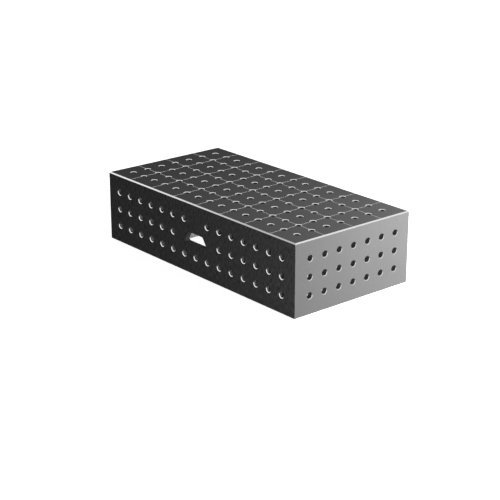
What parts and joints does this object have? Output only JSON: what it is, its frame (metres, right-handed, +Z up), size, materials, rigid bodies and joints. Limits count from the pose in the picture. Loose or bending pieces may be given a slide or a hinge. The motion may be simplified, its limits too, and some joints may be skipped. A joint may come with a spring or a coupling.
{
  "type": "welding fixture block",
  "caption": "Long drilled steel box, open below, with a grid of clamping holes on its top and sides, scribed lines and a tapered opening in one long wall.",
  "frame": {"origin": "middle of the footprint, on the surface that the block stands on", "axes": "+X along the length, +Z up; the long wall with the tapered opening faces -Y"},
  "size_m": [0.8, 0.4, 0.2],
  "materials": {
    "nitrided_plate": "plasma-nitrided steel, dark grey, finely ground, with bright broken edges at the rim and the holes",
    "rib_steel": "blasted steel plate with cut edges, light grey",
    "weld_metal": "rippled weld beads, dull grey"
  },
  "bodies": {
    "root": {"top_plate": "nitrided_plate", "front_wall": "nitrided_plate", "rear_wall": "nitrided_plate", "left_end_wall": "nitrided_plate", "right_end_wall": "nitrided_plate", "cross_rib_1": "rib_steel", "cross_rib_2": "rib_steel", "cross_rib_3": "rib_steel", "cross_rib_4": "rib_steel", "long_rib_1": "rib_steel", "long_rib_2": "rib_steel", "top_seam_weld": "weld_metal", "corner_welds": "weld_metal", "rib_stitch_welds": "weld_metal", "rib_end_welds": "weld_metal"}
  },
  "joints": []
}
